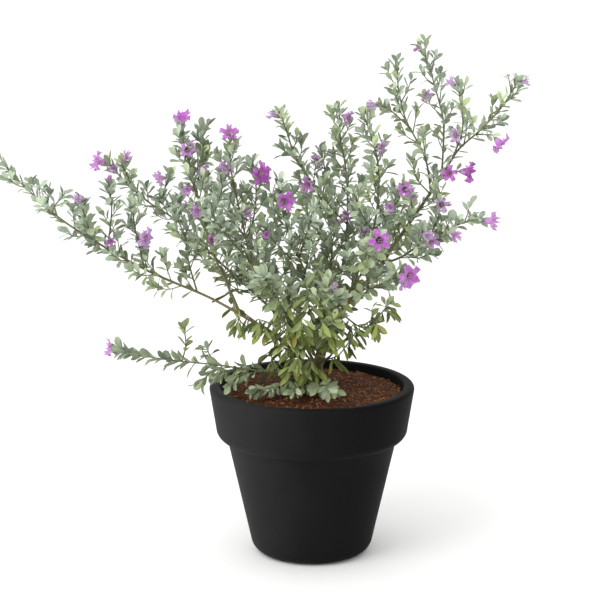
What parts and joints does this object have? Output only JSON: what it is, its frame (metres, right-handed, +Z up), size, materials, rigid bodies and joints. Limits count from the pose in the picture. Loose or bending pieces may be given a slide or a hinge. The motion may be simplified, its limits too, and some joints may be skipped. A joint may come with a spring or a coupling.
{
  "type": "potted shrub",
  "caption": "Texas sage shrub with silvery leaves and pink-purple bell flowers, growing in a round pot with a deep rim band.",
  "frame": {"origin": "centre of the pot's underside, on the surface that it stands on", "axes": "+Z up; +X to the right of someone who looks along +Y, so -Y is the front; the long stems lean to -X and +X"},
  "size_m": [0.4996, 0.2518, 0.5119],
  "materials": {
    "pot": "satin-matte near-black moulded polyethylene",
    "soil": "coarse loose coir fibre and chips, matte",
    "bark": "rough brown bark with olive patches",
    "foliage": "silvery sage-green felted leaves on thin twigs, matte",
    "petal": "soft thin pink-purple petals, slightly satin"
  },
  "bodies": {
    "root": {"pot": "pot", "soil": "soil", "trunk": "bark", "back_left_shoot": "foliage", "back_left_stem": "foliage", "back_right_stem": "foliage", "back_stem": "foliage", "base_shoot_1": "foliage", "base_shoot_2": "foliage", "centre_back_shoot": "foliage", "centre_back_stem": "foliage", "centre_left_shoot_1": "foliage", "centre_left_shoot_2": "foliage", "centre_left_stem": "foliage", "centre_right_shoot": "foliage", "centre_right_stem": "foliage", "centre_shoot": "foliage", "centre_stem": "foliage", "flower_1": "petal", "flower_10": "petal", "flower_11": "petal", "flower_12": "petal", "flower_2": "petal", "flower_3": "petal", "flower_4": "petal", "flower_5": "petal", "flower_6": "petal", "flower_7": "petal", "flower_8": "petal", "flower_9": "petal", "front_shoot_1": "foliage", "front_shoot_2": "foliage", "front_shoot_3": "foliage", "front_sprig": "foliage", "left_high_shoot": "foliage", "left_high_stem": "foliage", "left_middle_shoot": "foliage", "left_middle_stem": "foliage", "left_sweep_shoot_1": "foliage", "left_sweep_shoot_2": "foliage", "left_sweep_shoot_3": "foliage", "left_sweep_shoot_4": "foliage", "left_sweep_stem": "foliage", "low_runner": "foliage", "right_front_stem": "foliage", "right_low_shoot": "foliage", "right_low_stem": "foliage", "right_middle_shoot_1": "foliage", "right_middle_shoot_2": "foliage", "right_middle_stem": "foliage", "right_spray": "foliage", "right_tall_shoot_1": "foliage", "right_tall_shoot_2": "foliage", "right_tall_shoot_3": "foliage", "right_tall_shoot_4": "foliage", "right_tall_shoot_5": "foliage", "right_tall_shoot_6": "foliage", "right_tall_stem": "foliage"}
  },
  "joints": []
}
